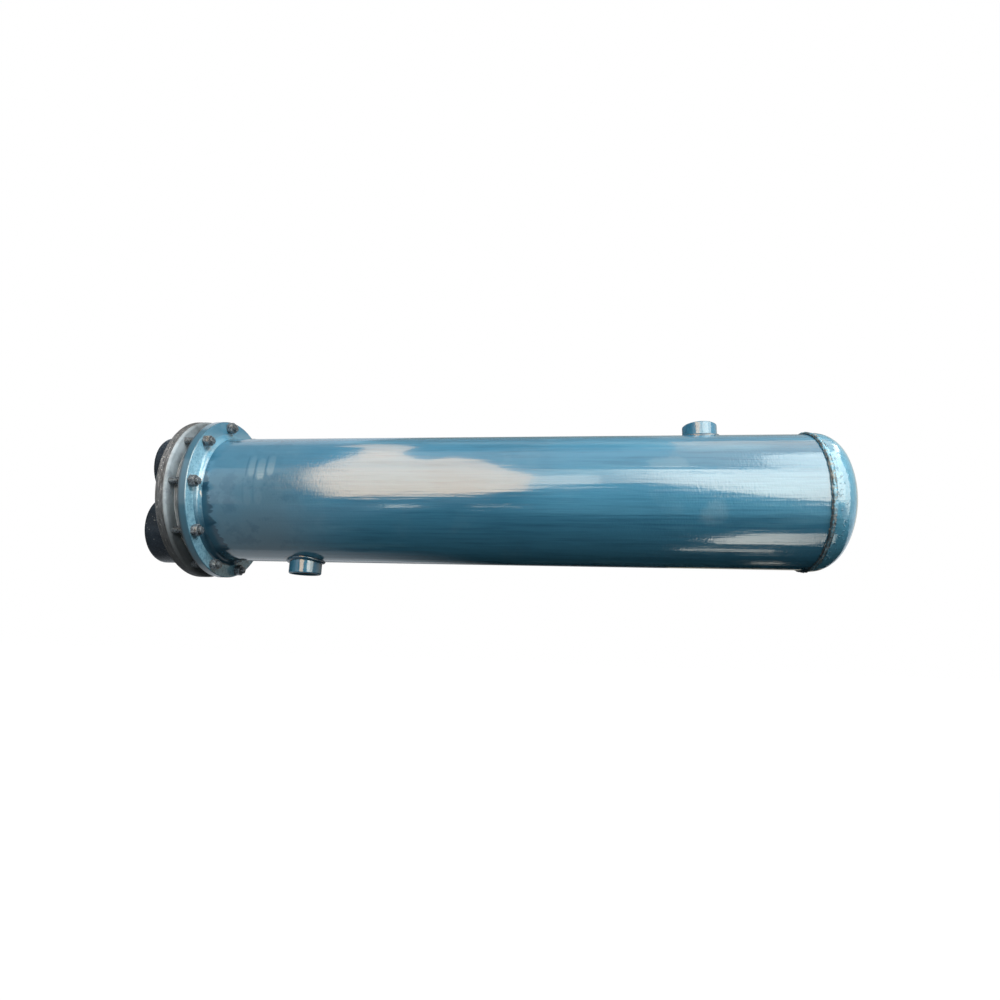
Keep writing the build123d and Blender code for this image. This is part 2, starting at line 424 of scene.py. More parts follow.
# %% Dust beside the flange
dust_rise = (0.12, 0.15)
dust_fall = (0.36, 0.24)
dust_band = (0.30, 0.65)
dust_cloud_share = 0.25
dust_least_share = 0.3
belt_foot = (0.0, 0.04)
belt_top = (0.095, 0.07)
belt_share = 0.6
blot_noise = (32.0, 4.0, 0.6)
blot_band = (0.50, 0.62)
blot_share = 0.35


def dust(paint):
    """A grey bloom on the shell, with darker blots in it."""
    near = paint.ramp(paint.x, *dust_rise) * paint.ramp(paint.x, *dust_fall)
    belt = paint.ramp(paint.z, *belt_foot) * paint.ramp(paint.z, *belt_top)
    near = near * (1 - belt * belt_share)
    thick = paint.ramp(paint.cloud, *dust_band) * dust_cloud_share + dust_least_share
    paint.tint(dust_tone, near * thick)
    paint.blot = paint.noise(paint.spot, *blot_noise)
    paint.tint(paint.deep, near * paint.ramp(paint.blot, *blot_band) * blot_share)


print("dust from", dust_rise[0], "to", dust_fall[0])

# %% [markdown]
# ## Finger marks
# Three fingers wiped the paint beside the flange, and a fainter pair shows
# below them. They could be painted on an image, but each is only a rounded
# stroke: a formula says how far a point lies inside it, noise frays its edge,
# and a thin dark ridge marks where the paint was pushed aside.

# %% Finger marks
# Each row is a place along the shell, a place round it, a half width and a strength.
fingers = [
    (0.2112, 0.0330, 0.0062, 0.75),
    (0.2275, 0.0275, 0.0074, 1.0),
    (0.2432, 0.0350, 0.0062, 0.8),
    (0.2095, -0.0130, 0.0060, 0.25),
    (0.2275, -0.0120, 0.0062, 0.25),
]
finger_length = 0.021
finger_lean = -0.05
fine_noise = (160.0, 3.0, 0.6)
patch_fray = 1.2
fine_fray = 1.1
press_band = (1.0, -0.7)
press_least_share = 0.3
wipe_band = (1.5, 0.4)
wipe_share = 0.31
ridge_side = 1.35
ridge_band = (0.35, 0.05)
ridge_end_band = (1.1, 0.7)
ridge_share = 0.6


def finger_marks(paint):
    """Dull the paint under each finger and darken the ridge beside it."""
    fray = paint.patch.swing(patch_fray) + paint.noise(paint.spot, *fine_noise).swing(fine_fray)
    arc = paint.arc()
    wiped = 0.0
    ridges = 0.0
    for finger_x, finger_arc, width, strength in fingers:
        along = (arc - finger_arc) / finger_length
        side = (paint.x - finger_x - (arc - finger_arc) * finger_lean) / width
        reach = side * side + along * along * along * along + fray
        press = paint.ramp(along, *press_band) * (1 - press_least_share) + press_least_share
        wiped = paint.ramp(reach, *wipe_band) * press * strength + wiped
        ridge = paint.ramp((side + ridge_side).size(), *ridge_band)
        ridges = ridge * paint.ramp(along.size(), *ridge_end_band) * strength + ridges
    paint.film = paint.film.top(wiped * wipe_share)
    paint.tint(paint.deep, ridges.low(1.0) * ridge_share)


print("finger marks:", len(fingers))

# %% [markdown]
# ## Smears near the cap
# Two faint dusty smears lie on the far half of the shell, where it was handled.
# They need no shape of their own, so each is an oval that noise breaks up, and
# it only thickens the film of dust that the whole shell has.

# %% Smears near the cap
# Each row is a place along the shell, a place round it, a length, a height and a strength.
smear_rows = [(0.935, -0.042, 0.026, 0.021, 0.22), (0.868, 0.036, 0.034, 0.012, 0.16)]
smear_band = (1.2, 0.0)
smear_fray = 3.0


def smears(paint):
    """Thicken the film of dust in a few broken ovals."""
    arc = paint.arc()
    smeared = 0.0
    for smear_x, smear_arc, length, height, strength in smear_rows:
        side = (paint.x - smear_x) / length
        along = (arc - smear_arc) / height
        reach = side * side + along * along + paint.blot.swing(smear_fray)
        smeared = paint.ramp(reach, *smear_band) * strength + smeared
    paint.film = paint.film.top(smeared)


print("smears:", len(smear_rows))

# %% [markdown]
# ## Painted shade in the corners
# Where the shell meets its flange and the lower socket, painted shade darkens the corner, wider below,
# and its edge is torn. It could be painted by hand, but the distance from the other piece, shifted by
# noise, keeps the dark band where the pieces meet.

# %% Painted shade in the corners
socket_low, socket_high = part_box("bottom_socket")
socket_x = (socket_low.x + socket_high.x) / 2
socket_radius = (socket_high.x - socket_low.x) / 2
torn_grain = ((40.0, 110.0, 110.0), 4.0, 0.65)
patch_tear = 0.02
torn_tear = 0.03
corner_reach = 0.016
corner_edge = shell_start + corner_reach
corner_band = (corner_edge + 0.002, corner_edge - 0.003)
corner_low_band = (0.03, -0.10)
corner_side_band = (0.08, -0.01)
corner_share = 0.8
socket_tear_share = 0.2
socket_band = (socket_radius + 0.013, socket_radius + 0.006)
socket_side_band = (0.0, -0.05)
socket_share = 0.9


def painted_corner_shade(paint):
    """Painted shade beside the flange, wider below, and round the lower socket."""
    ragged = paint.patch.swing(patch_tear) + paint.along(torn_grain).swing(torn_tear)
    low = paint.ramp(paint.z, *corner_low_band)
    by_flange = paint.ramp(paint.x + ragged - low * corner_reach, *corner_band)
    by_flange = by_flange * paint.ramp(paint.z, *corner_side_band)
    spread = paint.length(paint.vector(paint.x - socket_x, paint.y, 0.0))
    by_socket = paint.ramp(spread + ragged * socket_tear_share, *socket_band)
    by_socket = by_socket * paint.ramp(paint.z, *socket_side_band)
    paint.tint(painted_shade_tone, by_flange * corner_share + by_socket * socket_share)


print("dark corner at", round(corner_edge, 4))

# %% [markdown]
# ## Drips and mottle
# The other painted pieces have a mottled coat, and small drips stand on the cap
# beside its weld. Drips could be modelled, but they are under a millimetre
# high, so spots of noise raise the bump and take the deep tone.

# %% Drips and mottle
drip_noise = (170.0, 2.0, 0.5)
drip_band = (0.60, 0.70)
drip_rise = (shell_end - 0.01, shell_end)
drip_fall = (shell_end + 0.026, shell_end + 0.006)
drip_height = 0.0008
mottle_noise = (75.0, 4.0, 0.65)
mottle_band = (0.48, 0.66)
mottle_share = 0.35


def drips(paint):
    """Raised dark spots beside the cap's weld, and a mottled tone."""
    spots = paint.ramp(paint.noise(paint.spot, *drip_noise), *drip_band)
    spots = spots * paint.ramp(paint.x, *drip_fall) * paint.ramp(paint.x, *drip_rise)
    paint.height = paint.height + spots * drip_height
    mottle = paint.noise(paint.spot, *mottle_noise)
    paint.tint(paint.deep, spots.top(paint.ramp(mottle, *mottle_band) * mottle_share))


print("drips end at", round(drip_fall[0], 4))

# %% [markdown]
# ## Rubbed flange with painted shade
# The blue flange is scuffed and dusty. Painted shade darkens its top and its bottom, its clear coat is
# dull below, and its rim is grey, most of all towards the back.
# Rim and face could take two materials, but the distance from the axis tells
# them apart without cutting the piece.

# %% Rubbed flange with painted shade
blue_low, blue_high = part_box("shell_flange")
blue_radius = blue_high.y
rim_tones = (rgb(60, 104, 123), rgb(62, 78, 86))
rim_band = (blue_radius - 0.0014, blue_radius - 0.0004)
rim_back_band = (blue_low.x + 0.006, blue_low.x + 0.001)
scuff_noise = (240.0, 4.0, 0.7)
scuff_band = (0.46, 0.60)
scuff_share = 0.6
top_shade_band = (0.045, 0.10)
low_shade_band = (0.03, -0.08)
low_coat_band = (-0.06, 0.02)
low_coat_share = 0.2


def rub_and_shade_flange(paint, low_shade_share):
    """Scuffs, painted shade at the top and bottom, a dull lower coat and a grey rim."""
    paint.coat = paint.ramp(paint.z, *low_coat_band) * (1 - low_coat_share) + low_coat_share
    scuff = paint.noise(paint.spot, *scuff_noise)
    paint.tint(paint.deep, paint.ramp(scuff, *scuff_band) * scuff_share)
    # Painted shade darkens the top and the bottom.
    paint.tint(paint.deep, paint.ramp(paint.z, *top_shade_band))
    paint.tint(painted_shade_tone, paint.ramp(paint.z, *low_shade_band) * low_shade_share)
    from_axis = paint.length(paint.vector(0.0, paint.y, paint.z))
    behind = paint.ramp(paint.x, *rim_back_band)
    paint.tint(paint.mix(*rim_tones, behind), paint.ramp(from_axis, *rim_band))


print("flange rim at", round(blue_radius, 4))

# %% [markdown]
# ## Mix the enamels
# Six painted pieces share the brushed coat and differ in what happened to it since and in the painted
# light and shade they carry. Six separate materials would repeat most of their nodes, so one function
# puts the steps together and each piece names its tones and its wear.

# %% Mix the enamels
coat_share = 0.55
# How much painted shade darkens the lower flange and the lower fillet.
flange_low_shade_share = 0.36
fillet_low_shade_share = 0.9


def enamel(name, tones, handled_and_shaded=False, low_shade_share=0.0):
    """A painted finish: handled as the shell is, with painted shade in its corners, or dripped; and
    rubbed as the flange is, with painted shade at its top and bottom.
    """
    paint = Enamel(name, tones)
    if handled_and_shaded:
        dust(paint)
        finger_marks(paint)
        smears(paint)
        painted_corner_shade(paint)
    else:
        drips(paint)
    paint.coat = coat_share * (1 - paint.film)
    if low_shade_share:
        rub_and_shade_flange(paint, low_shade_share)
    paint.close()
    return paint


shell_enamel = enamel("shell_enamel", shell_tones, handled_and_shaded=True)
blue_enamel = enamel("blue_enamel", shell_tones)
socket_bead_shade_enamel = enamel("socket_bead_shade_enamel", socket_bead_shade_tones)
cap_enamel = enamel("cap_enamel", cap_lit_tones)
flange_enamel = enamel("flange_enamel", flange_lit_tones, low_shade_share=flange_low_shade_share)
fillet_enamel = enamel("fillet_enamel", fillet_highlight_tones, low_shade_share=fillet_low_shade_share)
print("shell enamel has", len(shell_enamel.tree.nodes), "nodes")

# %% [markdown]
# ## Black head enamel
# The channel head is a casting under thick dark paint, so it has the slow waves of cast metal, and small
# pale specks are painted into its colour as glints where the paint has lumps. The waves could be
# modelled, but they are too shallow to show on the outline, so two scales of noise make them as bump.

# %% Black head enamel
head_tones = (rgb(46, 55, 64), rgb(33, 41, 49))
head_glint_tone = rgb(150, 152, 150)
head_wave_noise = (38.0, 3.0, 0.5)
head_wave_band = (0.35, 0.7)
head_wave_share = 0.75
head_grit_noise = (330.0, 3.0, 0.65)
head_grit_band = (0.4, 0.75)
head_glint_noise = (210.0, 1.0, 0.4)
head_glint_band = (0.70, 0.76)
head_glint_share = 0.5
head_rough = 0.20
head_grit_rough = 0.2
head_bump = (0.35, 0.0012)
head_specular = 0.12

head_enamel = Finish("head_enamel")
head_spot = head_enamel.place()
head_wave = head_enamel.noise(head_spot, *head_wave_noise)
head_grit = head_enamel.noise(head_spot, *head_grit_noise)
# Pale specks in the colour are painted glints.
head_glint = head_enamel.ramp(head_enamel.noise(head_spot, *head_glint_noise), *head_glint_band)
head_dark = head_enamel.mix(*head_tones, head_enamel.ramp(head_wave, *head_wave_band))
head_relief = head_wave * head_wave_share + head_grit * (1 - head_wave_share)
head_enamel.set(
    Base_Color=head_enamel.mix(head_dark, head_glint_tone, head_glint * head_glint_share),
    Roughness=head_rough + head_enamel.ramp(head_grit, *head_grit_band) * head_grit_rough,
    Normal=head_enamel.bump(head_relief, *head_bump),
    Specular_IOR_Level=head_specular,
)
print("head enamel has", len(head_enamel.tree.nodes), "nodes")

# %% [markdown]
# ## Flange steel
# The head's flange was cut from plate by flame. Its rim is dark, scaled and
# dragged along the cut, while the rounded front edge and the face were dressed
# and stay pale grey. Two materials would need the faces picked out; here the
# distance from the axis tells rim from face.

# %% Rim and face of the flange
face_tones = (rgb(168, 179, 184), rgb(120, 129, 134))
cut_tones = (rgb(120, 125, 130), rgb(54, 58, 62))
face_band = (0.38, 0.68)
cut_band = (0.32, 0.66)
drag_grain = ((640.0, 55.0, 55.0), 5.0, 0.7)
turned_grain = ((1500.0, 4.0, 4.0), 3.0, 0.6)
flange_cloud_noise = (30.0, 4.0, 0.6)
flange_round = 0.004
round_edge = flange_high.x - flange_round
round_band = (round_edge + 0.0008, round_edge - 0.0008)
cut_skin = (flange_radius - 0.0012, flange_radius - 0.0002)

flange_steel = Finish("flange_steel")
flange_spot = flange_steel.place()
flange_x, flange_y, flange_z = flange_steel.axes(flange_spot)
from_axis = flange_steel.length(flange_steel.vector(0.0, flange_y, flange_z))
cut = flange_steel.ramp(from_axis, *cut_skin) * flange_steel.ramp(flange_x, *round_band)
drag = flange_steel.grain((flange_x, flange_y, flange_z), *drag_grain)
turned = flange_steel.grain((from_axis, flange_y, flange_z), *turned_grain)
flange_cloud = flange_steel.noise(flange_spot, *flange_cloud_noise)
face_colour = flange_steel.mix(*face_tones, flange_steel.ramp(flange_cloud, *face_band))
cut_colour = flange_steel.mix(*cut_tones, flange_steel.ramp(drag, *cut_band))
flange_colour = flange_steel.mix(face_colour, cut_colour, cut)
print("flange rim and face told apart at", round(cut_skin[0], 4))

# %% [markdown]
# ## Scale, and a darker top and bottom, on the flange
# Flakes of mill scale sit on the steel, more on its rim, and its top and its bottom are darker. Both
# could be further materials, but as shares of the same mix they run over rim and face without a join.

# %% Scale and a darker top and bottom on the flange
scale_tone = rgb(206, 208, 206)
scale_noise = (300.0, 2.0, 0.6)
scale_band = (0.62, 0.70)
scale_cut_share = 0.4
scale_face_share = 0.2
darker_tone = rgb(62, 64, 64)
darker_low_band = (-0.02, -0.12)
darker_low_fray = 0.06
darker_low_share = 0.8
darker_top_band = (0.06, 0.12)
darker_top_fray = 0.05
darker_top_share = 0.6
turned_depth_share = 0.12
cloud_depth_share = 0.2
steel_rough = 0.62
steel_polish = 0.1
steel_polish_band = (0.4, 0.7)
steel_metal = 0.1
steel_specular = 0.2
steel_bump = (0.55, 0.0014)

scale = flange_steel.ramp(flange_steel.noise(flange_spot, *scale_noise), *scale_band)
scale = scale * (cut * scale_cut_share + scale_face_share)
flange_colour = flange_steel.mix(flange_colour, scale_tone, scale)
# Darker towards the bottom and the top.
darker_low = flange_steel.ramp(flange_z + flange_cloud.swing(darker_low_fray), *darker_low_band)
darker_top = flange_steel.ramp(flange_z + flange_cloud.swing(darker_top_fray), *darker_top_band)
darkening = (darker_low * darker_low_share).top(darker_top * darker_top_share)
face_relief = turned * (1 - cut) * turned_depth_share + flange_cloud * cloud_depth_share
flange_steel.set(
    Base_Color=flange_steel.mix(flange_colour, darker_tone, darkening),
    Roughness=steel_rough - flange_steel.ramp(flange_cloud, *steel_polish_band) * steel_polish,
    Metallic=steel_metal * cut,
    Specular_IOR_Level=steel_specular,
    Normal=flange_steel.bump(drag * cut + face_relief, *steel_bump),
)
print("flange steel has", len(flange_steel.tree.nodes), "nodes")

# %% [markdown]
# ## Fasteners, gaskets and the bundle
# Studs and nuts are plain dark steel. The gaskets are pressed fibre, the tube
# sheet is dull turned steel and the tubes are brass. All of them wander in
# tone, gloss and surface, only at different scales. Five node trees would say
# the same thing five times, so one function makes them.

# %% Fasteners, gaskets and the bundle
wear_detail = (4.0, 0.6)
wear_band = (0.35, 0.65)
wear_relief_share = 0.5
grit_times = 7
grit_detail = (3.0, 0.6)
grit_band = (0.35, 0.7)
grit_rough = 0.18
wear_depth = 0.0004
fibre_specular = 0.1
fastener_tones = (rgb(128, 138, 145), rgb(52, 57, 62))
fibre_tones = (rgb(246, 246, 244), rgb(226, 226, 222))
sheet_tones = (rgb(146, 153, 157), rgb(104, 110, 114))
brass_tones = (rgb(190, 146, 92), rgb(140, 100, 58))
inner_tones = (rgb(110, 108, 104), rgb(72, 68, 62))


def worn(name, tones, scale, rough, metal, relief=0.2):
    """A surface whose tone, gloss and grit wander at one scale."""
    finish = Finish(name)
    spot = finish.place()
    wear = finish.noise(spot, scale, *wear_detail)
    grit = finish.noise(spot, scale * grit_times, *grit_detail)
    height = wear * wear_relief_share + grit * (1 - wear_relief_share)
    finish.set(
        Base_Color=finish.mix(*tones, finish.ramp(wear, *wear_band)),
        Roughness=rough + finish.ramp(grit, *grit_band) * grit_rough,
        Metallic=metal,
        Normal=finish.bump(height, relief, wear_depth),
    )
    return finish


fastener_steel = worn("fastener_steel", fastener_tones, scale=420.0, rough=0.24, metal=0.4, relief=0.1)
gasket_fibre = worn("gasket_fibre", fibre_tones, scale=160.0, rough=0.8, metal=0.0)
gasket_fibre.set(Specular_IOR_Level=fibre_specular)
sheet_steel = worn("sheet_steel", sheet_tones, scale=60.0, rough=0.4, metal=0.1)
tube_brass = worn("tube_brass", brass_tones, scale=40.0, rough=0.35, metal=0.9)
inner_steel = worn("inner_steel", inner_tones, scale=50.0, rough=0.5, metal=0.7)
print("worn finishes have", len(inner_steel.tree.nodes), "nodes each")

# %% [markdown]
# ## Cap bead metal
# The bead at the domed end was ground back here and there, so bare grey metal and brown rust show
# between remains of the blue paint, and its toe on the shell's side is dark. Painted shade darkens its
# lower side. A mask could be painted by hand; noise at two scales gives the same broken edge all the way
# round.

# %% Cap bead metal
seam_low, seam_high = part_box("end_cap_weld")
bead_middle = (seam_low.x + seam_high.x) / 2
bare_tones = (rgb(120, 130, 134), rgb(56, 56, 56))
bare_band = (0.42, 0.60)
rust_tone = rgb(104, 92, 82)
rust_band = (0.55, 0.70)
rust_share = 0.4
bead_wear_noise = (55.0, 4.0, 0.65)
bead_pit_noise = (260.0, 3.0, 0.6)
remains_wear_share = 0.5
remains_band = (0.46, 0.54)
toe_tone = rgb(50, 62, 68)
toe_band = (bead_middle - 0.0004, bead_middle - 0.0022)
toe_fray = 0.004
toe_share = 0.85
bead_shade_tone = rgb(44, 58, 66)
bead_shade_band = (0.0, -0.09)
bead_shade_share = 0.6
bare_rough = 0.42
remains_polish = 0.25
bare_metal = 0.3
pit_bump = (0.9, 0.0012)

bead_metal = Finish("bead_metal")
bead_spot = bead_metal.place()
bead_x, _, bead_z = bead_metal.axes(bead_spot)
bead_wear = bead_metal.noise(bead_spot, *bead_wear_noise)
bead_pit = bead_metal.noise(bead_spot, *bead_pit_noise)
bead_tone = bead_metal.mix(*bare_tones, bead_metal.ramp(bead_pit, *bare_band))
bead_tone = bead_metal.mix(bead_tone, rust_tone, bead_metal.ramp(bead_wear, *rust_band) * rust_share)
worn_down = bead_wear * remains_wear_share + bead_pit * (1 - remains_wear_share)
remains = bead_metal.ramp(worn_down, *remains_band)
bead_tone = bead_metal.mix(bead_tone, cap_lit_tones[2], remains)
toe = bead_metal.ramp(bead_x + bead_wear.swing(toe_fray), *toe_band)
bead_tone = bead_metal.mix(bead_tone, toe_tone, toe * toe_share)
# Painted shade on the lower side of the bead.
bead_shade = bead_metal.ramp(bead_z, *bead_shade_band) * bead_shade_share
bead_metal.set(
    Base_Color=bead_metal.mix(bead_tone, bead_shade_tone, bead_shade),
    Roughness=bare_rough - remains * remains_polish,
    Metallic=bare_metal * (1 - remains),
    Normal=bead_metal.bump(bead_pit, *pit_bump),
)
print("cap bead at", round(bead_middle, 4))

# %% [markdown]
# ## Dress the CAD nodes
# The shell, the flanges, the sockets, the cap, the head and the bundle have
# their right shapes in CAD. They could be modelled again, but that would only
# lose accuracy, so they keep their meshes and take a finish. The studs, nuts
# and weld beads, which need finer shapes, are modelled further down.

# %% Dress the CAD nodes
node_finishes = {
    "shell": shell_enamel,
    "shell_flange": flange_enamel,
    "top_socket": blue_enamel,
    "bottom_socket": blue_enamel,
    "end_cap": cap_enamel,
    "head_body": head_enamel,
    "head_flange": flange_steel,
    "head_gasket": gasket_fibre,
    "shell_gasket": gasket_fibre,
    "tube_sheet": sheet_steel,
    "u_tubes": tube_brass,
    "baffles": inner_steel,
    "tie_rods": inner_steel,
}
for name, finish in node_finishes.items():
    nodes[name].data.materials.clear()
    nodes[name].data.materials.append(finish.material)
print("dressed", len(node_finishes), "nodes")

# %% [markdown]
# ## Tools for shaping by hand
# Each new piece starts from a primitive and is shaped with edit-mode operators,
# as it would be by hand. An operator acts on all that is selected, so these
# helpers first choose one piece, or some of its vertices by their place.

# %% Tools for shaping by hand
seed_size = 0.001
profile_merge = 1e-7


def take(piece):
    """Make a piece the only selected and active one."""
    bpy.ops.object.select_all(action="DESELECT")
    piece.select_set(True)
    bpy.context.view_layer.objects.active = piece


def start(add_primitive, **sizes):
    """Deselect everything, add a primitive and give its object."""
    bpy.ops.object.select_all(action="DESELECT")
    add_primitive(**sizes)
    return bpy.context.object


def edit(piece):
    """Open a piece in edit mode with all its vertices selected."""
    take(piece)
    bpy.ops.object.mode_set(mode="EDIT")
    bpy.ops.mesh.select_mode(type="VERT")
    bpy.ops.mesh.select_all(action="SELECT")


def leave():
    bpy.ops.object.mode_set(mode="OBJECT")


def pick(piece, wanted):
    """In edit mode, select the vertices whose place passes a test."""
    bpy.ops.mesh.select_all(action="DESELECT")
    leave()
    for vertex in piece.data.vertices:
        vertex.select = wanted(vertex.co)
    bpy.ops.object.mode_set(mode="EDIT")


def cut_across(height, **cleared):
    """Cut a piece across Z, close the cut and clear one side of it."""
    bpy.ops.mesh.select_all(action="SELECT")
    bpy.ops.mesh.bisect(plane_co=(0, 0, height), plane_no=(0, 0, 1), use_fill=True, **cleared)


def face_outward():
    bpy.ops.mesh.select_all(action="SELECT")
    bpy.ops.mesh.normals_make_consistent(inside=False)


def draw_profile(points, closed):
    """A start vertex, extruded from point to point in the XZ plane."""
    piece = start(bpy.ops.mesh.primitive_plane_add, size=seed_size)
    edit(piece)
    bpy.ops.mesh.merge(type="CENTER")
    bpy.ops.transform.translate(value=points[0])
    path = points + points[:1] if closed else points
    for before, after in zip(path, path[1:]):
        step = Vector(after) - Vector(before)
        bpy.ops.mesh.extrude_vertices_move(TRANSFORM_OT_translate={"value": step})
    bpy.ops.mesh.select_all(action="SELECT")
    bpy.ops.mesh.remove_doubles(threshold=profile_merge)
    return piece


print("shaping tools ready")

# %% [markdown]
# ## Tools for finishing a piece
# A shaped piece still needs its modifiers applied, its copies, and its place in the frame. Its place
# could stay in its object, but the finishes expect it in the mesh, so settle applies every move and turn
# at once.

# %% Tools for finishing a piece
smooth_angle = radians(35)


def modify(piece, kind, **settings):
    """Add a modifier and apply it at once."""
    take(piece)
    modifier = piece.modifiers.new(kind.lower(), kind)
    for key, value in settings.items():
        setattr(modifier, key, value)
    bpy.ops.object.modifier_apply(modifier=modifier.name)


def wind(piece, pitch, turns, steps, **merging):
    """Wind a profile up round Z with the Screw modifier."""
    rounds = {"iterations": turns, "steps": steps, "render_steps": steps}
    modify(piece, "SCREW", axis="Z", screw_offset=pitch, **rounds, **merging)


def settle(piece, place=(0, 0, 0), turn=(0, 0, 0)):
    """Move and turn a piece, then put its place into its mesh."""
    take(piece)
    piece.location = place
    piece.rotation_euler = turn
    bpy.ops.object.transform_apply(location=True, rotation=True, scale=True)


def duplicate(piece, turn):
    """A copy with its own mesh, turned about the shell's axis."""
    copy = piece.copy()
    copy.data = piece.data.copy()
    scene.collection.objects.link(copy)
    settle(copy, turn=(turn, 0, 0))
    return copy


def bolt_ring(piece):
    """A piece and its copies, evenly round the bolt circle."""
    return [piece] + [duplicate(piece, i * 2 * pi / stud_count) for i in range(1, stud_count)]


def hand_over(piece, name, finish, slot, *stands_for):
    """Name, shade and paint a piece, and tie it to the frame."""
    piece.name = name
    piece.data.name = name
    take(piece)
    bpy.ops.object.shade_smooth_by_angle(angle=smooth_angle)
    piece.data.materials.clear()
    piece.data.materials.append(finish.material)
    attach(piece, "root")
    if stands_for:
        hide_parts(*stands_for)
    print(name, len(piece.data.polygons), "faces")


print("finishing tools ready")

# %% [markdown]
# ## Threaded studs
# Ten studs are screwed into the head's flange. A thread could be a bump map,
# but its teeth show on the outline, so one pitch of the profile is drawn and
# the Screw modifier winds it up. Two cuts give the stud flat, closed ends, and
# its tip is tapered a little, so that a nut finds it.

# %% Threaded studs
thread_pitch = 0.00175
thread_depth = 0.00105
thread_steps = 20
thread_merge = 1e-6
rise_share = 0.375
crest_share = 0.5
fall_share = 0.875
foot_turns = 2
spare_turns = 4
tip_taper_share = 0.82
tip_pick_share = 0.1
root_radius = stud_radius - thread_depth
thread_profile = [
    (root_radius, 0, 0),
    (stud_radius, 0, thread_pitch * rise_share),
    (stud_radius, 0, thread_pitch * crest_share),
    (root_radius, 0, thread_pitch * fall_share),
    (root_radius, 0, thread_pitch),
]
stud_length = stud_high.x - stud_low.x
stud_foot = thread_pitch * foot_turns
stud_tip = stud_foot + stud_length
stud_turns = int(stud_length / thread_pitch) + spare_turns

stud = draw_profile(thread_profile, closed=False)
leave()
wind(stud, thread_pitch, stud_turns, thread_steps, use_merge_vertices=True, merge_threshold=thread_merge)
edit(stud)
cut_across(stud_foot, clear_inner=True)
cut_across(stud_tip, clear_outer=True)
pick(stud, lambda co: co.z > stud_tip - thread_pitch * tip_pick_share)
bpy.ops.transform.resize(value=(tip_taper_share, tip_taper_share, 1), center_override=(0, 0, stud_tip))
face_outward()
leave()
settle(stud, (stud_low.x - stud_foot, bolt_circle, 0), (0, quarter_turn, 0))
for i, piece in enumerate(bolt_ring(stud)):
    hand_over(piece, f"flange_stud_{i + 1}", fastener_steel, "fastener_steel", "flange_studs")

# %% [markdown]
# ## Hexagon nuts
# A nut is a six-sided bar whose ends are turned to a cone, drilled for the
# stud. Its cones could be bevelled on, but a bevel follows the six edges, where
# a lathe cuts a circle. So the hexagon is intersected with a double cone and
# drilled with a second Boolean, and a small bevel catches the light.

# %% Hexagon nuts
nut_low, nut_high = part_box("shell_side_nuts")
nut_height = nut_high.x - nut_low.x
nut_sides = 6
nut_flats = 0.017
nut_corner = nut_flats / sqrt(3)
nut_face_share = 0.95
nut_slope = 1.73
nut_bevel = 0.00035
nut_bevel_steps = 2
nut_bevel_angle = radians(25)
bore_sides = 40
bore_clearance = 0.00005
bore_radius = stud_radius + bore_clearance
drill_length = nut_height * 2
face_radius = nut_flats / 2 * nut_face_share
waist_radius = face_radius + nut_height / 2 * nut_slope
end_share = face_radius / waist_radius
add_cylinder = bpy.ops.mesh.primitive_cylinder_add

nut = start(add_cylinder, vertices=nut_sides, radius=nut_corner, depth=nut_height)
double_cone = start(add_cylinder, vertices=bore_sides, radius=waist_radius, depth=nut_height)
edit(double_cone)
bpy.ops.mesh.bisect(plane_co=(0, 0, 0), plane_no=(0, 0, 1))
pick(double_cone, lambda co: abs(co.z) > nut_height / 4)
bpy.ops.transform.resize(value=(end_share, end_share, 1), center_override=(0, 0, 0))
leave()
modify(nut, "BOOLEAN", operation="INTERSECT", object=double_cone, solver="EXACT")
bpy.data.objects.remove(double_cone)
drill = start(add_cylinder, vertices=bore_sides, radius=bore_radius, depth=drill_length)
modify(nut, "BOOLEAN", operation="DIFFERENCE", object=drill, solver="EXACT")
bpy.data.objects.remove(drill)
nut_edges = {"limit_method": "ANGLE", "angle_limit": nut_bevel_angle}
modify(nut, "BEVEL", width=nut_bevel, segments=nut_bevel_steps, **nut_edges)
settle(nut, (nut_low.x + nut_height / 2, bolt_circle, 0), (0, quarter_turn, 0))
for i, piece in enumerate(bolt_ring(nut)):
    hand_over(piece, f"shell_side_nut_{i + 1}", fastener_steel, "fastener_steel", "shell_side_nuts")

# %% [markdown]
# ## Tools for weld beads
# A bead is laid in small overlapping steps, so it is a ring with ripples across
# it and uneven toes. Bump alone would leave its outline smooth, so every few
# rings are really fattened, and a Displace modifier upsets the rest. A bead
# round the shell is spun from its profile, a smaller one starts as a torus.

# %% Tools for weld beads
bead_merge = 1e-6
bead_sides = 14
lump_detail = 3
ripple_every = 3


def ripple(bead, rings, every, height, flat):
    """Fatten every few rings of a bead; flat gives a point's place in their plane."""
    ring_angle = 2 * pi / rings
    start_line = Vector((0, 1))
    pick(bead, lambda co: round(flat(co).angle_signed(start_line) / ring_angle) % every == 0)
    bpy.ops.transform.shrink_fatten(value=height)
    leave()


def roughen(bead, lump_size, lump_height):
    """Upset a bead with a soft cloud texture."""
    texture = bpy.data.textures.new("weld_lumps", "CLOUDS")
    texture.noise_scale = lump_size
    texture.noise_depth = lump_detail
    modify(bead, "DISPLACE", texture=texture, texture_coords="LOCAL", strength=lump_height)


def spun_bead(profile, rings, every, ripple_height, lump_size, lump_height):
    """A closed profile spun round the X axis, rippled and uneven."""
    bead = draw_profile(profile, closed=True)
    bpy.ops.mesh.spin(steps=rings, angle=2 * pi, center=(0, 0, 0), axis=(1, 0, 0))
    bpy.ops.mesh.select_all(action="SELECT")
    bpy.ops.mesh.remove_doubles(threshold=bead_merge)
    face_outward()
    ripple(bead, rings, every, ripple_height, lambda co: co.yz)
    roughen(bead, lump_size, lump_height)
    return bead


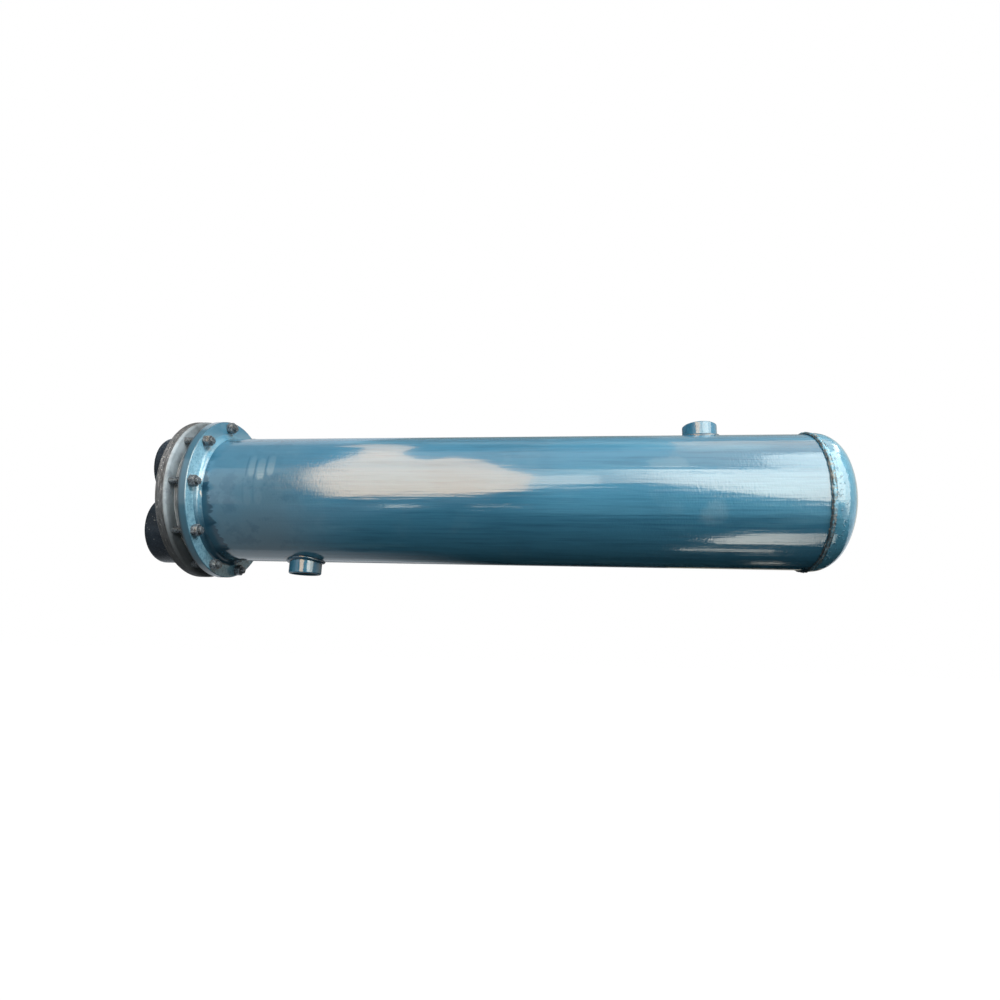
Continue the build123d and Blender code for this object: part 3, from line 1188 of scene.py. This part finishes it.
def ring_bead(ring_radius, bead_radius, rings, ripple_height, lump_size, lump_height):
    """A flat ring of weld round Z, rippled and uneven."""
    rounds = {"major_segments": rings, "minor_segments": bead_sides}
    radii = {"major_radius": ring_radius, "minor_radius": bead_radius}
    bead = start(bpy.ops.mesh.primitive_torus_add, **rounds, **radii)
    edit(bead)
    ripple(bead, rings, ripple_every, ripple_height, lambda co: co.xy)
    roughen(bead, lump_size, lump_height)
    return bead


print("weld tools ready")

# %% [markdown]
# ## Fillet behind the shell flange
# A glossy fillet fills the corner between the flange and the shell. A straight
# chamfer would look cut, so its profile is a hollow quarter circle, sunk a
# little into both pieces, with ripples that are almost brushed away by paint.

# %% Fillet behind the shell flange
weld_leg = 0.009
weld_points = 9
weld_sink = 0.0008
weld_angles = [pi / 2 * i / weld_points for i in range(weld_points + 1)]
weld_profile = [
    (shell_start + weld_leg * (1 - cos(angle)), 0, shell_radius + weld_leg * (1 - sin(angle)))
    for angle in weld_angles
]
weld_profile += [(shell_start - weld_sink, 0, shell_radius - weld_sink)]
flange_bead = spun_bead(
    weld_profile, rings=480, every=4, ripple_height=0.00005, lump_size=0.02, lump_height=0.0008
)
hand_over(flange_bead, "shell_flange_bead", fillet_enamel, "shell_paint", "shell_flange_weld")

# %% [markdown]
# ## Bead at the domed cap
# The seam of the cap is a rough butt weld that stands proud of the paint. Its
# crown could be an arc, but a weld runs out flat at its toes, so the crown is a
# squared cosine, wider on the cap's side, with a root below the surface.

# %% Bead at the domed cap
bead_points = 12
bead_left = 0.0032
bead_right = 0.0056
bead_rise = 0.0020
bead_toe_sink = 0.0004
bead_root = 0.0022
bead_root_share = 0.6
bead_foot = cap_radius - bead_toe_sink


def crown_point(step):
    """A point of the crown, from -1 at the toe on the shell to 1 at the toe on the cap."""
    width = bead_left if step < 0 else bead_right
    return (bead_middle + width * step, 0, bead_foot + bead_rise * cos(pi / 2 * step) ** 2)


cap_profile = [crown_point(2 * i / bead_points - 1) for i in range(bead_points + 1)]
cap_profile += [(bead_middle + bead_right * bead_root_share, 0, cap_radius - bead_root)]
cap_profile += [(bead_middle - bead_left * bead_root_share, 0, cap_radius - bead_root)]
cap_bead = spun_bead(
    cap_profile, rings=540, every=3, ripple_height=0.00015, lump_size=0.0045, lump_height=0.0030
)
hand_over(cap_bead, "end_cap_bead", bead_metal, "cap_weld_metal", "end_cap_weld")

# %% [markdown]
# ## Beads round the sockets
# These run where an upright pipe meets a lying one, so their path is a saddle.
# A curve could follow it, but a ring is quicker: it is made flat, and then every
# point is placed as high as the shell is at that distance to its side.

# %% Beads round the sockets
socket_bead_gap = 0.0012
socket_bead_radius = 0.0038


def socket_bead(socket_name, turn):
    """A saddle-shaped bead round the foot of a socket."""
    low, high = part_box(socket_name)
    ring_radius = (high.x - low.x) / 2 + socket_bead_gap
    bead = ring_bead(
        ring_radius,
        socket_bead_radius,
        rings=144,
        ripple_height=0.00025,
        lump_size=0.008,
        lump_height=0.0016,
    )
    for vertex in bead.data.vertices:
        side = ring_radius * vertex.co.y / vertex.co.xy.length
        vertex.co.z += sqrt(shell_radius**2 - side**2)
    settle(bead, ((low.x + high.x) / 2, 0, 0), (turn, 0, 0))
    return bead


for name, turn in (("top_socket", 0), ("bottom_socket", pi)):
    hand_over(socket_bead(name, turn), name + "_bead", socket_bead_shade_enamel, "shell_paint", name + "_weld")

# %% [markdown]
# ## Bead behind the head flange
# The head has two round lobes, so its bead is two rings that meet on the middle
# plane. Joining them with a Boolean would leave a crease of small faces, so one
# ring is cut flat on that plane and the other is its turned copy.

# %% Bead behind the head flange
head_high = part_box("head_body")[1]
lobe_radius = head_high.y
lobe_offset = head_high.z - lobe_radius
head_bead_gap = 0.001
head_bead_radius = 0.0055
head_bead = ring_bead(
    lobe_radius + head_bead_gap,
    head_bead_radius,
    rings=200,
    ripple_height=0.0003,
    lump_size=0.010,
    lump_height=0.002,
)
settle(head_bead, (flange_low.x - head_bead_gap, 0, lobe_offset), (0, quarter_turn, 0))
edit(head_bead)
cut_across(0, clear_inner=True)
leave()
lower_head_bead = duplicate(head_bead, pi)
hand_over(head_bead, "upper_head_bead", head_enamel, "head_paint", "head_weld")
hand_over(lower_head_bead, "lower_head_bead", head_enamel, "head_paint", "head_weld")

# %% [markdown]
# ## Pipe threads
# The sockets and the head's ports take pipe. The thread could be cut into the
# bore with a Boolean, but a CAD node keeps its mesh. So a ridge with a
# triangular section is wound up inside each bore, with its base buried in the
# wall, and the bore and the thread look like one piece.

# %% Pipe threads
mm_per_m = 1000
pipe_pitch = 0.002309
pipe_depth = 0.0008
pipe_bury = 0.0002
pipe_turns = 7
pipe_steps = 56
pipe_width_share = 0.98
mounts = {mount["name"]: mount for mount in frame["record"]["mounts"]}


def pipe_thread(mount):
    """A wound ridge inside the bore of a threaded mount."""
    bore = mount["dims"]["r_mm"] / mm_per_m
    profile = [
        (bore + pipe_bury, 0, 0),
        (bore - pipe_depth, 0, pipe_pitch / 2),
        (bore + pipe_bury, 0, pipe_pitch * pipe_width_share),
    ]
    thread = draw_profile(profile, closed=True)
    leave()
    wind(thread, pipe_pitch, pipe_turns, pipe_steps)
    edit(thread)
    bpy.ops.mesh.fill_holes(sides=0)
    face_outward()
    bpy.ops.transform.translate(value=(0, 0, -pipe_pitch * (pipe_turns + 1) / 2))
    leave()
    axis = Vector(mount["axis"])
    settle(thread, Vector(mount["pos_m"]), axis.to_track_quat("Z", "Y").to_euler())
    return thread


for name in ("top_shell_socket", "bottom_shell_socket", "upper_tube_port", "lower_tube_port"):
    hand_over(pipe_thread(mounts[name]), name + "_thread", inner_steel, "inner_steel")

# %% [markdown]
# ## Floor
# The exchanger hangs from its pipework, so it floats above a pale floor. A
# brighter lamp would make the floor white and burn out the paint. Instead the
# floor glows for the rays that see it directly, keeps a little shade under the
# object, and sends almost no light back up.

# %% Floor
floor_drop = 0.75
floor_size = 30.0
floor_middle = 0.6
floor_bounce = (0.07, 0.07, 0.07, 1.0)
floor_pale = (0.9, 0.9, 0.9, 1.0)
floor_rough = 0.9
floor_glow = 1.03
floor_glow_share = 0.90
floor_glow_band = (0.9, 3.0)
white = (1.0, 1.0, 1.0, 1.0)


def seen_directly(graph):
    """1 for rays from the camera, from gloss and through glass, else 0."""
    path = graph.make("ShaderNodeLightPath", output=None)
    names = ("Is Camera Ray", "Is Glossy Ray", "Is Transmission Ray")
    camera_ray, glossy_ray, through_ray = (Wire(graph.tree, path.outputs[name]) for name in names)
    return camera_ray.top(glossy_ray).top(through_ray)


floor_place = (floor_middle, 0.0, -floor_drop)
floor = start(bpy.ops.mesh.primitive_plane_add, size=floor_size, location=floor_place)
floor.name = "floor"
floor_white = Finish("floor_white")
floor_seen = seen_directly(floor_white)
floor_white.set(Base_Color=floor_white.mix(floor_bounce, floor_pale, floor_seen), Roughness=floor_rough)
floor_far = floor_white.ramp(floor_white.length(floor_white.place()), *floor_glow_band)
floor_share = floor_seen * (floor_far * (1 - floor_glow_share) + floor_glow_share)
floor_shade = Wire(floor_white.tree, floor_white.shader.outputs[0])
floor_light = floor_white.make("ShaderNodeEmission", sockets={0: white, 1: floor_glow})
floor_blend = {0: floor_share, 1: floor_shade, 2: floor_light}
floor_white.show(floor_white.make("ShaderNodeMixShader", sockets=floor_blend))
floor.data.materials.append(floor_white.material)
print("floor", floor_drop, "below the shell's axis")

# %% [markdown]
# ## World
# The background is white too. As plain light a white world would wash the
# object out, so it is white only for the rays that see it directly and adds no
# more than a faint fill to the rest.

# %% World
world_fill = 0.08
world = bpy.data.worlds.new("studio")
scene.world = world
world.use_nodes = True
sky = Graph(world.node_tree)
sky_strength = seen_directly(sky) * (1.0 - world_fill) + world_fill
sky_light = sky.make("ShaderNodeBackground", sockets={0: white, 1: sky_strength})
sky.make("ShaderNodeOutputWorld", sockets={0: sky_light}, output=None)
print("world fill", world_fill)

# %% [markdown]
# ## Lamps
# A soft lamp from the upper right models the shell, and weaker ones reach its
# front, back, top and head. One strong lamp would leave the far sides black.
# The lamps hide from gloss, because their square shapes would show in the
# paint; what it mirrors is made by the cards further down.

# %% Lamps
cool_white = (0.97, 0.99, 1.0)
warm_white = (1.0, 0.98, 0.95)
# Each row is a name, a place, a target, a width, a height, a power and a colour.
lamp_rows = [
    ("key_lamp", (2.8, -1.5, 2.0), (0.5, 0.0, 0.0), 1.8, 1.6, 125.0, cool_white),
    ("front_lamp", (0.6, -2.3, 0.55), (0.5, 0.0, 0.0), 1.8, 0.8, 32.0, cool_white),
    ("back_lamp", (0.6, 2.3, 1.3), (0.5, 0.0, 0.0), 1.8, 0.8, 34.0, cool_white),
    ("head_lamp", (-2.4, 0.9, 0.5), (0.0, 0.0, 0.0), 1.2, 0.8, 30.0, cool_white),
    ("top_lamp", (0.1, -0.8, 2.4), (0.4, 0.0, 0.0), 1.6, 1.2, 26.0, warm_white),
]
for name, place, target, width, height, power, colour in lamp_rows:
    data = bpy.data.lights.new(name, "AREA")
    data.shape = "RECTANGLE"
    data.size = width
    data.size_y = height
    data.energy = power
    data.color = colour
    lamp = bpy.data.objects.new(name, data)
    scene.collection.objects.link(lamp)
    lamp.location = place
    lamp.rotation_euler = (Vector(target) - Vector(place)).to_track_quat("-Z", "Y").to_euler()
    lamp.visible_glossy = False
print("lamps:", len(lamp_rows))

# %% [markdown]
# ## A room of cards
# Gloss paint shows what is round it, as long bands of light and dark. They could
# be painted on the shell, but then they would stay put when the view turns. So
# flat glowing cards that only gloss can see line a room round the object, and
# each lies on a wall, a layer or two in front of it.

# %% A room of cards
wall_y = -2.0
back_y = 3.5
roof_z = 2.0
low_z = -0.72
left_x = -2.5
side_x = 3.0
lift = 0.02
# Each wall has the axis that it stands across, its place on it and a layer's step inwards.
room = {
    "wall": (1, wall_y, lift),
    "back": (1, back_y, -lift),
    "roof": (2, roof_z, -lift),
    "floor": (2, low_z, lift),
    "left": (0, left_x, lift),
    "side": (0, side_x, -lift),
}
warm = (1.0, 0.69, 0.42, 1.0)
plain = (1.0, 0.97, 0.85, 1.0)
olive = (1.0, 1.0, 0.82, 1.0)
grey = (0.85, 0.93, 1.0, 1.0)
blue = (0.30, 0.78, 1.0, 1.0)
black = (0.0, 0.0, 0.0, 1.0)
dim_least_share = 0.32


def sheet(low, high, near, far):
    """The corners of a rectangle on a wall."""
    return [(low, near), (high, near), (high, far), (low, far)]


def card(name, wall, outline, colour, glow, layer=0, fade=None, dim=None, lean=0.0):
    """A card that only gloss shows; it may fade along X, leaning with Z, and dim along Y."""
    axis, place, step = room[wall]
    corners = [list(point) for point in outline]
    for corner in corners:
        corner.insert(axis, place + step * layer)
    mesh = bpy.data.meshes.new(name)
    mesh.from_pydata(corners, [], [list(range(len(corners)))])
    made = bpy.data.objects.new(name, mesh)
    scene.collection.objects.link(made)
    light = Finish(name)
    if fade:
        x, y, z = light.axes(light.place())
        share = light.ramp(x + z * lean, *fade)
        if dim:
            share = share * (light.ramp(y, *dim) * (1 - dim_least_share) + dim_least_share)
        colour = light.mix(black, colour, share)
    light.show(light.make("ShaderNodeEmission", sockets={0: colour, 1: glow}))
    mesh.materials.append(light.material)
    made.visible_camera = False
    made.visible_diffuse = False
    made.visible_shadow = False


print("room", side_x - left_x, "by", back_y - wall_y)

# %% [markdown]
# ## Dull walls of the room
# Most of the shell mirrors dull things: a grey floor to the left, a blue one to
# the right, dim walls and a dark roof with two pale beams. One even grey would
# leave the paint lifeless, so each stretch has a card of its own strength.

# %% Dull walls of the room
floor_join = 0.30
roof_left = -0.35
roof_right = 1.30
roof_front = -0.30
left_join = 0.6
right_join = 0.65
blue_left = 0.42
opening_left = 1.6
opening_foot = 0.45
opening_top = 1.45
card("near_floor", "floor", sheet(left_x, side_x, wall_y, floor_join), grey, 0.42, fade=(0.26, -0.12))
card("far_floor", "floor", sheet(left_x, side_x, floor_join, back_y), grey, 0.72, fade=(0.50, -0.20))
blue_floor = sheet(blue_left, side_x, wall_y, -1.02)
card("blue_floor", "floor", blue_floor, blue, 1.2, layer=1, fade=(0.40, 0.75))
card("pale_floor", "floor", sheet(1.9, side_x, wall_y, -0.6), grey, 1.4, layer=2)
card("left_wall", "left", sheet(wall_y, back_y, low_z, roof_z), grey, 0.10)
card("back_wall", "back", sheet(left_x, side_x, low_z, roof_z), grey, 0.16)
card("back_opening", "back", sheet(opening_left, side_x, opening_foot, opening_top), plain, 0.7, layer=1)
card("back_low", "back", sheet(opening_left, side_x, low_z, opening_foot), plain, 0.5, layer=1)
card("dark_roof", "roof", sheet(roof_left, roof_right, roof_front, back_y), olive, 0.25)
far_beam = [(0.05, 0.60), (0.55, 0.50), (1.25, 0.42), (1.25, 0.60), (0.70, 0.68), (0.10, 0.76)]
card("far_beam", "roof", far_beam, plain, 0.75, layer=1)
near_beam = [(0.45, -0.14), (1.25, -0.20), (1.25, -0.05), (0.50, -0.02)]
card("near_beam", "roof", near_beam, plain, 0.9, layer=1)
card("left_roof", "roof", sheet(left_x, roof_left, wall_y, left_join), grey, 0.30)
card("far_left_roof", "roof", sheet(left_x, roof_left, left_join, back_y), grey, 0.7)
card("front_roof", "roof", sheet(roof_left, roof_right, wall_y, roof_front), plain, 1.2)
card("right_roof", "roof", sheet(roof_right, side_x, wall_y, right_join), warm, 1.9)
card("far_right_roof", "roof", sheet(roof_right, side_x, right_join, back_y), plain, 0.4)
card("front_wall", "wall", sheet(-0.9, side_x, low_z, roof_z), grey, 0.25)
card("low_wall", "wall", sheet(blue_left, side_x, low_z, 0.55), blue, 1.3, layer=1, fade=(0.45, 0.80))
print("dull cards in place")

# %% [markdown]
# ## Bright openings
# A warm patch lies on the left half of the shell, and a cool band widens from
# its middle to the cap. Lamps could mirror as such shapes only if they were cut
# to them, so outlined cards do it: the warm one runs from the wall over onto
# the roof, and the cool one carries on across the wall, the roof and the side.

# %% Bright openings
warm_wall = [(-0.50, -0.28), (0.33, -0.14), (0.60, 0.20), (0.62, 1.15), (0.40, 2.0)]
warm_wall += [(-0.95, 2.0), (-0.88, 1.72), (-0.80, 1.20), (-0.70, 0.81), (-0.56, 0.15)]
card("warm_wall", "wall", warm_wall, warm, 8.8, layer=2, fade=(-0.49, -0.31), lean=0.2)
warm_roof = [(-0.84, -2.0), (-0.69, -1.71), (-0.52, -1.26), (-0.41, -0.96), (-0.34, -0.77)]
warm_roof += [(-0.27, -0.58), (-0.22, -0.04), (-0.22, 0.18), (-0.38, 0.28), (-0.29, 0.50)]
warm_roof += [(-0.18, 0.63), (-0.05, 0.46), (0.05, 0.19), (-0.03, -0.42), (0.0, -0.90)]
warm_roof += [(0.07, -1.10), (0.19, -0.85), (0.30, -0.95), (0.38, -1.43), (0.42, -2.0)]
card("warm_roof", "roof", warm_roof, warm, 7.4, layer=1, fade=(-0.95, -0.55), dim=(0.45, -0.75))
middle_wall = [(0.60, 0.20), (0.76, 0.42), (0.95, 0.54), (0.98, 1.25), (0.62, 1.15)]
card("middle_wall", "wall", middle_wall, plain, 5.5, layer=1)
upper_wall = [(0.62, 1.15), (0.98, 1.25), (0.98, 1.70), (0.77, 1.72), (0.42, 1.98)]
card("upper_wall", "wall", upper_wall, plain, 2.6, layer=1)
cool_wall = [(0.95, 0.54), (1.19, 0.62), (1.40, 0.31), (1.66, -0.13), (1.96, -0.45)]
cool_wall += [(side_x, -0.45), (side_x, 1.64), (0.98, 1.70)]
card("cool_wall", "wall", cool_wall, plain, 8.4, layer=2, fade=(0.70, 1.5))
cool_roof = [(1.72, -0.80), (2.3, -0.4), (2.5, 0.6), (side_x, 1.0), (side_x, wall_y)]
cool_roof += [(2.02, wall_y), (1.88, -1.6)]
card("cool_roof", "roof", cool_roof, plain, 6.4, layer=1)
card("cool_cornice", "wall", sheet(2.02, side_x, 1.60, roof_z), plain, 6.0, layer=1)
print("warm outline of", len(warm_wall + warm_roof), "points")

# %% [markdown]
# ## The end wall
# The cap is round, so it mirrors the whole wall at its end. An even glow there
# would flatten it; a bright strip at the front and a dim one behind give the
# cap its pale crescent and its darker rim.

# %% The end wall
bright_far = -0.75
bright_foot = -0.35
card("bright_side", "side", sheet(wall_y, bright_far, bright_foot, roof_z), plain, 5.4, layer=1)
card("low_side", "side", sheet(wall_y, bright_far, low_z, bright_foot), plain, 4.2, layer=1)
card("cool_side", "side", sheet(-0.30, back_y, low_z, 0.15), grey, 1.0, layer=1)
card("plain_side", "side", sheet(bright_far, back_y, low_z, roof_z), plain, 0.7)
print("end wall at", side_x)

# %% [markdown]
# ## Thin lines of light
# Low on the shell a few thin bright dashes run along it. Scratches in the paint
# would show from everywhere; these are gloss and move with the view, so small
# cards on the floor make them.

# %% Thin lines of light
line_front = [(-0.03, -1.72), (0.12, -1.76), (0.14, -1.46), (0.0, -1.44)]
card("line_front", "floor", line_front, plain, 5.5, layer=2)
line_thin = [(0.36, -1.66), (0.58, -1.68), (0.58, -1.57), (0.38, -1.56)]
card("line_thin", "floor", line_thin, plain, 5.5, layer=2)
line_right = [(1.10, -0.22), (1.16, -0.26), (1.22, -0.37), (1.50, -0.40), (1.44, -0.26)]
line_right += [(1.33, -0.10), (1.12, -0.10)]
card("line_right", "floor", line_right, plain, 5.4, layer=1, fade=(1.64, 1.20))
line_under = [(1.03, 0.03), (1.26, 0.02), (1.26, 0.11), (1.03, 0.08)]
card("line_under", "floor", line_under, plain, 3.4, layer=1)
line_back = [(1.28, 0.54), (1.37, 0.52), (1.38, 0.62), (1.30, 0.63)]
card("line_back", "floor", line_back, plain, 1.5, layer=2)
print("studio ready")

# %% [markdown]
# ## Finish
# The colours are shown as they are written, with the Standard view.

# %% Finish
scene.view_settings.view_transform = "Standard"
